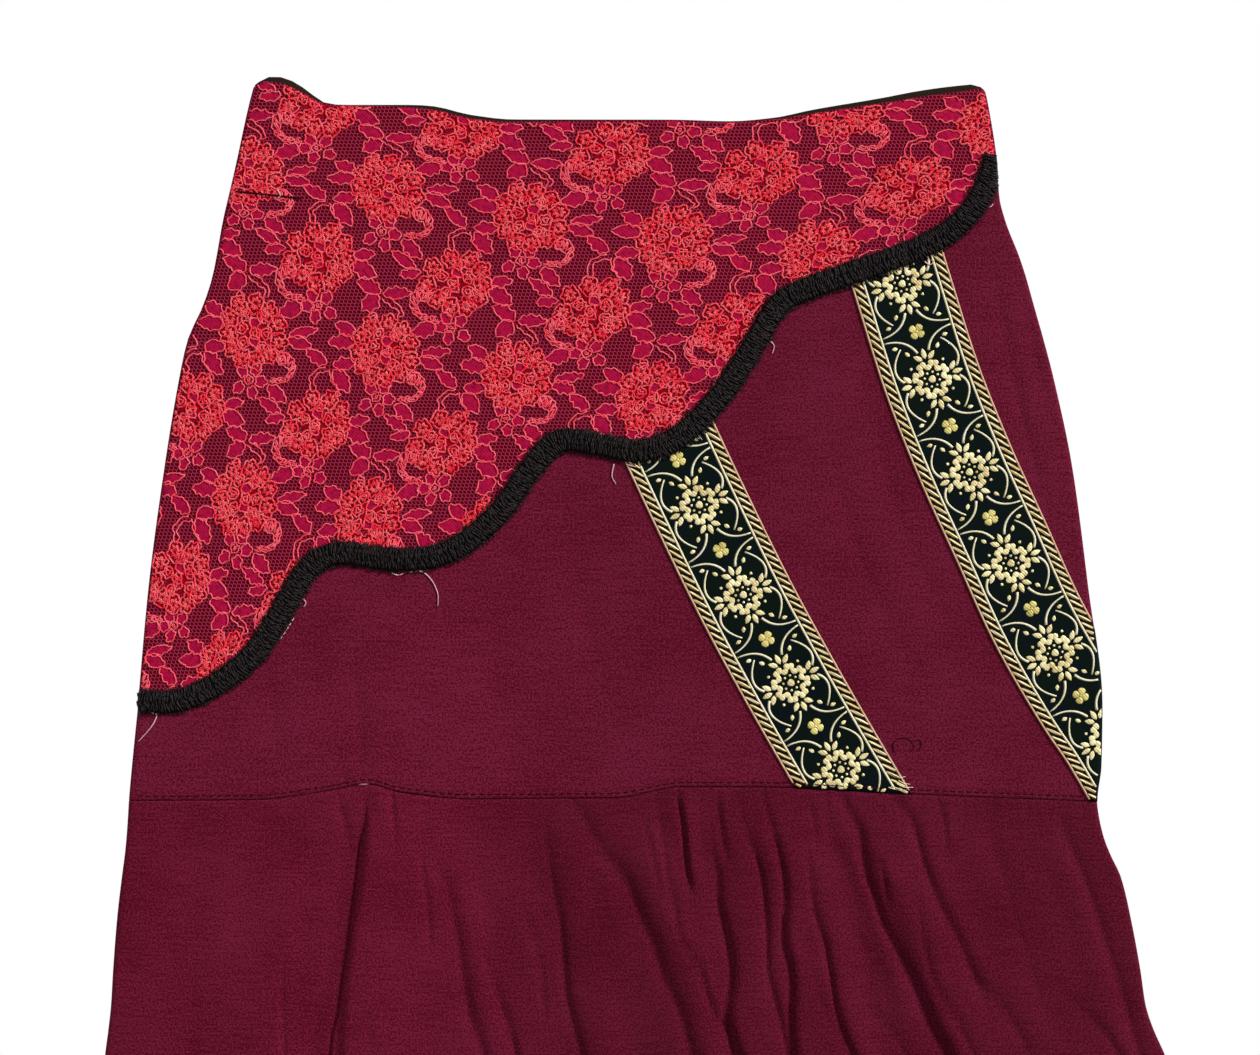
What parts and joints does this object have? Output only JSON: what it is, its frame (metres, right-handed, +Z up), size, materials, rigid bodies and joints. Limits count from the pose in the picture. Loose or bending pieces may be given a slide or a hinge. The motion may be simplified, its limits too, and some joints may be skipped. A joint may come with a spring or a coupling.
{
  "type": "midi skirt laid flat",
  "caption": "Midi skirt lying flat: fitted hip yoke with a scalloped red lace overlay, black looped braid, gold floral ribbons and a gathered, flaring lower tier.",
  "frame": {"origin": "middle of the bounding box in plan, on the surface the skirt lies on", "axes": "+X to the right across the skirt as seen from above, +Y from the hem towards the waist, +Z up from the surface, through back and front"},
  "size_m": [0.637, 0.78, 0.008],
  "materials": {
    "jersey": "fine matte single jersey, burgundy",
    "lace": "corded floral net lace, coral red cords over crimson motifs",
    "braid": "looped viscose braid, black with a soft shine",
    "ribbon": "woven jacquard ribbon, black ground with gold metal yarn flowers"
  },
  "bodies": {
    "root": {"back_yoke": "jersey", "back_tier": "jersey", "front_yoke": "jersey", "front_tier": "jersey", "lace_overlay": "lace", "scallop_braid": "braid", "ribbon_centre": "ribbon", "ribbon_side": "ribbon"}
  },
  "joints": []
}
